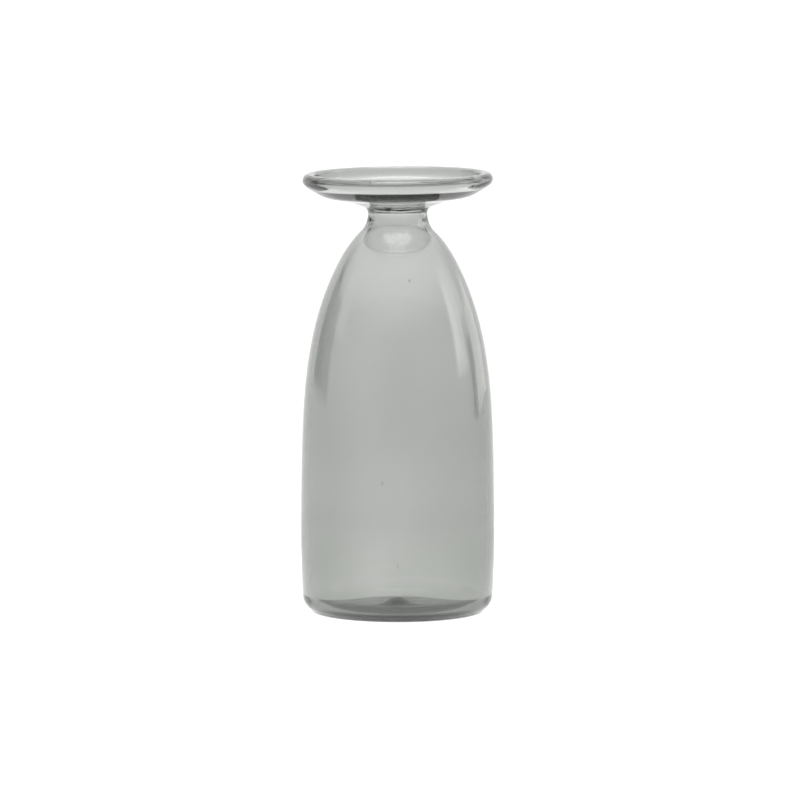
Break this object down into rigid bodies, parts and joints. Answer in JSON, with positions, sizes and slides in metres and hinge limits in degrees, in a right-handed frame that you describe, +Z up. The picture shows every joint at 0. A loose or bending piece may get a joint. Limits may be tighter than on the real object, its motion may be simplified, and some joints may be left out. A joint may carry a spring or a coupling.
{
  "type": "bottle vase",
  "caption": "Tall smoke-grey glass bottle vase with a near-cylindrical body, ogive shoulders, a short narrow neck and a wide flat saucer rim.",
  "frame": {"origin": "centre of the standing ring, on the surface that the vase stands on", "axes": "+Z up along the axis of revolution, towards the mouth; +X and +Y level"},
  "size_m": [0.0882, 0.0882, 0.2001],
  "materials": {
    "smoke_glass": "clear, fire-polished, faint smoke-grey tint through the wall"
  },
  "bodies": {
    "root": {"bottle": "smoke_glass", "flange_rim": "smoke_glass"}
  },
  "joints": []
}
